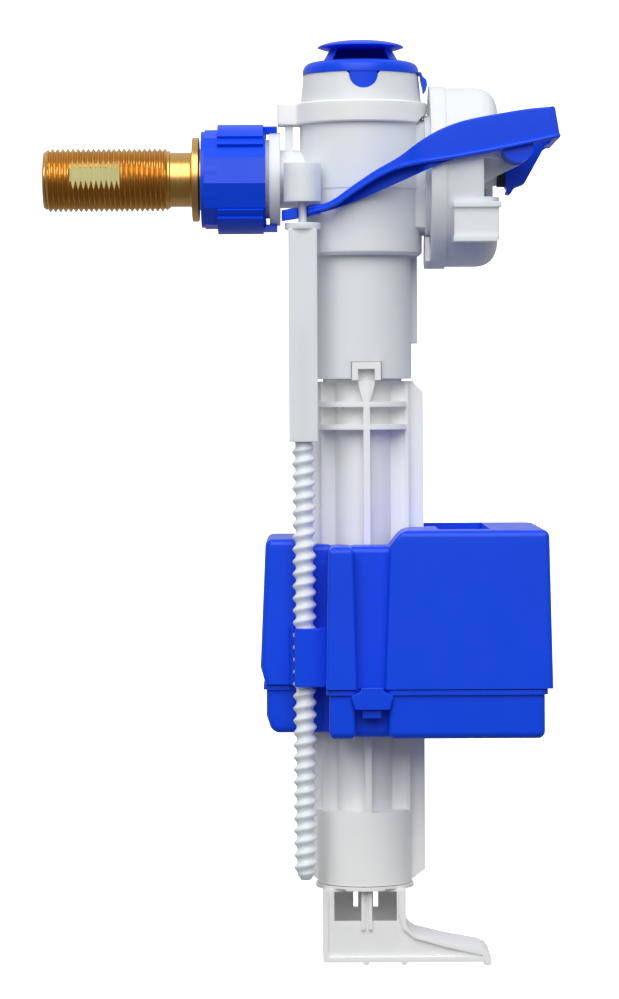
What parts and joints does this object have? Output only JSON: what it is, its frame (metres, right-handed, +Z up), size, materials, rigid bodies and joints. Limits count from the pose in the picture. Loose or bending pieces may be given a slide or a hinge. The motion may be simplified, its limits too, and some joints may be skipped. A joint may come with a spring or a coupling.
{
  "type": "float valve",
  "caption": "Side-inlet float valve with a brass threaded tail, servo diaphragm head, lever, threaded float rod, guided block float, ribbed column and foot.",
  "frame": {"origin": "inlet axis at the left face of the brass flange, the face that meets the cistern wall", "axes": "-X out of the inlet tail towards the supply, +Z up along the column, -Y towards the front with the float rod"},
  "size_m": [0.1335, 0.0636, 0.2408],
  "materials": {
    "brass": "bright turned brass",
    "blue_plastic": "saturated blue, satin gloss moulding",
    "pale_plastic": "slightly translucent natural polypropylene",
    "white_plastic": "opaque white moulding",
    "rubber": "black rubber"
  },
  "bodies": {
    "root": {"inlet_tail": "brass", "clip_ring": "white_plastic", "inlet_seal": "rubber", "valve_body": "pale_plastic", "retaining_ring": "white_plastic", "chamber_cover": "pale_plastic", "diaphragm": "rubber", "guide_column": "white_plastic"},
    "nut": {"union_nut": "blue_plastic"},
    "cap": {"top_cap": "blue_plastic", "cap_seal": "rubber", "filter_basket": "white_plastic"},
    "cover": {"cover_ring": "pale_plastic"},
    "core": {"diaphragm_core": "white_plastic"},
    "lever": {"lever": "blue_plastic", "lever_pad": "rubber"},
    "rod": {"pull_sleeve": "pale_plastic"},
    "spindle": {"threaded_spindle": "pale_plastic"},
    "float": {"float_hood": "blue_plastic", "float_tray": "blue_plastic", "spindle_clip": "blue_plastic"},
    "foot": {"support_foot": "white_plastic"}
  },
  "joints": [
    {"name": "float_travel", "type": "slide", "parent": "root", "child": "rod", "axis": [0, 0, 1], "range_m": [-0.0035, 0]},
    {"name": "lever_swing", "type": "hinge", "parent": "root", "child": "lever", "pos_m": [0.0839, 0, 0.0066], "axis": [0, 1, 0], "range_deg": [-3.7, 0]},
    {"name": "core_slide", "type": "slide", "parent": "root", "child": "core", "axis": [1, 0, 0], "range_m": [0, 0.0015]},
    {"name": "spindle_turn", "type": "hinge", "parent": "rod", "child": "spindle", "pos_m": [0.0288, -0.0155, -0.1], "axis": [0, 0, 1], "range_deg": [-3250, 3250]},
    {"name": "level_adjust", "type": "slide", "parent": "rod", "child": "float", "axis": [0, 0, 1], "range_m": [-0.02835, 0.02835]},
    {"name": "nut_turn", "type": "hinge", "parent": "root", "child": "nut", "pos_m": [0.012, 0, 0], "axis": [1, 0, 0], "continuous": true},
    {"name": "cover_turn", "type": "hinge", "parent": "root", "child": "cover", "pos_m": [0.07, 0, 0.0002], "axis": [1, 0, 0], "range_deg": [0, 30]},
    {"name": "cap_lift", "type": "slide", "parent": "root", "child": "cap", "axis": [0, 0, 1], "range_m": [0, 0.04]},
    {"name": "foot_turn", "type": "hinge", "parent": "root", "child": "foot", "pos_m": [0.0442, 0, -0.19], "axis": [0, 0, 1], "continuous": true}
  ],
  "couplings": [
    {"joint": "lever_swing", "follows": "float_travel", "rad_per_m": 18.149},
    {"joint": "core_slide", "follows": "float_travel", "ratio": -0.4},
    {"joint": "spindle_turn", "follows": "level_adjust", "rad_per_m": -1994.7}
  ]
}
